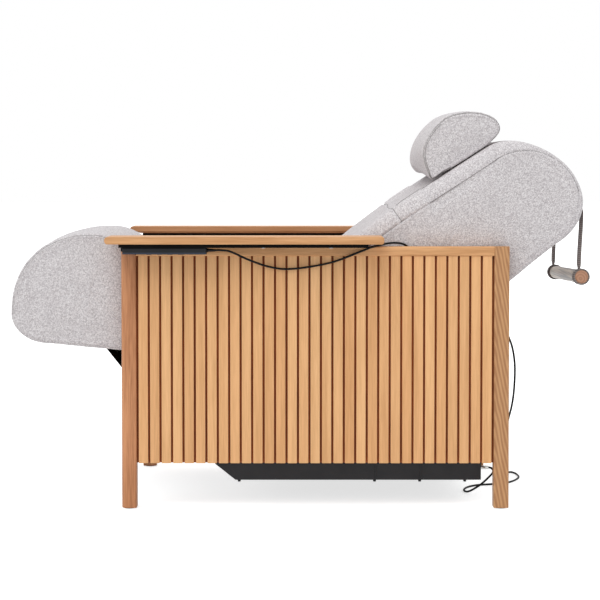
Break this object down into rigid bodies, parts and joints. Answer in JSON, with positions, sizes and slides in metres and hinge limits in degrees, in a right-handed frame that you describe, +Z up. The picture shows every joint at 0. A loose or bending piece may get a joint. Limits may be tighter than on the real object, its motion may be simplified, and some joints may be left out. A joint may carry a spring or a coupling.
{
  "type": "reflexology chair",
  "caption": "Reclining reflexology chair with slatted oak sides, a motor-driven backrest and raised leg rest, a sliding head pillow on a strap counterweight and a corded hand controller.",
  "frame": {"origin": "on the floor, under the middle of the chair's length and width", "axes": "+X towards the back of the chair, -X towards the feet, +Y towards the sitter's right, +Z up"},
  "size_m": [1.3596, 0.76, 0.9286],
  "materials": {
    "oak": "clear satin lacquer",
    "oak_darker": "clear satin lacquer",
    "groove_wood": "dark red-brown stain",
    "plywood": "raw",
    "upholstery": "light grey melange weave",
    "webbing": "taupe woven webbing",
    "keeper_cloth": "light grey weave",
    "dust_cloth": "black non-woven cloth",
    "black_steel": "satin black powder coat",
    "armrest_steel": "matte black powder coat",
    "bright_steel": "ground",
    "zinc_steel": "zinc plated",
    "actuator_aluminium": "matte",
    "nylon": "natural",
    "black_plastic": "fine grain",
    "slate_plastic": "satin",
    "button_rubber": "matte",
    "cord_rubber": "matte",
    "felt": "pressed felt",
    "circuit_green": "coated board",
    "nickel": "nickel plated",
    "bar_satin": "grey-beige satin, striped along its length",
    "bar_end_wood": "reddish, sanded"
  },
  "bodies": {
    "frame": {"left_front_post": "oak_darker", "left_rear_post": "oak_darker", "right_front_post": "oak_darker", "right_rear_post": "oak_darker", "left_top_rail": "oak", "right_top_rail": "oak", "left_panel_board": "groove_wood", "right_panel_board": "groove_wood", "left_slats": "oak", "right_slats": "oak", "left_armrest": "oak", "right_armrest": "oak", "armrest_plates": "armrest_steel", "armrest_screws": "zinc_steel", "floor_glides": "felt", "chassis_rails": "black_steel", "cross_tubes": "black_steel", "chassis_brackets": "black_steel", "pivot_bushes": "nylon", "base_pan": "black_steel", "pan_clips": "black_plastic", "dust_cloth": "dust_cloth", "control_box": "black_plastic", "mains_inlet": "black_plastic", "controller_socket": "nickel", "seat_board": "plywood", "seat_cushion": "upholstery", "leg_actuator": "actuator_aluminium", "back_actuator": "actuator_aluminium", "controller_cradle": "black_plastic", "controller_case": "black_plastic", "controller_face": "slate_plastic", "controller_circuit": "circuit_green", "controller_boot": "cord_rubber", "controller_cord": "cord_rubber", "controller_plug": "nickel"},
    "legrest": {"legrest_cushion": "upholstery", "legrest_board": "plywood", "legrest_arms": "black_steel", "legrest_shaft": "bright_steel", "legrest_lug": "black_steel"},
    "backrest": {"backrest_cushion": "upholstery", "backrest_board": "plywood", "backrest_arms": "black_steel", "recline_shaft": "bright_steel", "recline_lug": "black_steel", "pillow_straps": "webbing", "strap_keepers": "keeper_cloth"},
    "pillow": {"pillow": "upholstery"},
    "straps": {"strap_tails": "webbing"},
    "counterweight": {"counterweight_bar": "bar_satin", "counterweight_core": "bright_steel", "counterweight_caps": "bar_end_wood", "strap_loops": "webbing"},
    "leg_rod": {"leg_actuator_rod": "bright_steel"},
    "back_rod": {"back_actuator_rod": "bright_steel"},
    "button_back_up_body": {"button_back_up": "button_rubber"},
    "button_back_down_body": {"button_back_down": "button_rubber"},
    "button_legs_up_body": {"button_legs_up": "button_rubber"},
    "button_legs_down_body": {"button_legs_down": "button_rubber"}
  },
  "joints": [
    {"name": "legrest_tilt", "type": "hinge", "parent": "frame", "child": "legrest", "pos_m": [-0.29, 0, 0.395], "axis": [0, -1, 0], "range_deg": [0, 74], "deforming": ["dust_cloth"]},
    {"name": "backrest_recline", "type": "hinge", "parent": "frame", "child": "backrest", "pos_m": [0.025, 0, 0.4], "axis": [0, -1, 0], "range_deg": [-18, 28]},
    {"name": "leg_rod_slide", "type": "slide", "parent": "frame", "child": "leg_rod", "axis": [1, 0, 0], "range_m": [0, 0.112]},
    {"name": "back_rod_slide", "type": "slide", "parent": "frame", "child": "back_rod", "axis": [1, 0, 0], "range_m": [-0.034, 0.053]},
    {"name": "pillow_slide", "type": "slide", "parent": "backrest", "child": "pillow", "axis": [0.8387, 0, 0.5446], "range_m": [-0.09, 0.02]},
    {"name": "strap_swing", "type": "hinge", "parent": "backrest", "child": "straps", "pos_m": [0.6627, 0, 0.7008], "axis": [0, -1, 0], "range_deg": [-11, 22]},
    {"name": "counterweight_rise", "type": "slide", "parent": "straps", "child": "counterweight", "axis": [0, 0, -1], "range_m": [-0.09, 0.02], "deforming": ["strap_tails"]},
    {"name": "button_back_up_press", "type": "slide", "parent": "frame", "child": "button_back_up_body", "axis": [0, 0, 1], "range_m": [0, 0.001], "stiffness_N_per_m": 400},
    {"name": "button_back_down_press", "type": "slide", "parent": "frame", "child": "button_back_down_body", "axis": [0, 0, 1], "range_m": [0, 0.001], "stiffness_N_per_m": 400},
    {"name": "button_legs_up_press", "type": "slide", "parent": "frame", "child": "button_legs_up_body", "axis": [0, 0, 1], "range_m": [0, 0.001], "stiffness_N_per_m": 400},
    {"name": "button_legs_down_press", "type": "slide", "parent": "frame", "child": "button_legs_down_body", "axis": [0, 0, 1], "range_m": [0, 0.001], "stiffness_N_per_m": 400}
  ],
  "couplings": [
    {"joint": "leg_rod_slide", "follows": "legrest_tilt", "m_per_rad": 0.0857},
    {"joint": "back_rod_slide", "follows": "backrest_recline", "m_per_rad": 0.1067},
    {"joint": "counterweight_rise", "follows": "pillow_slide", "ratio": 1}
  ]
}
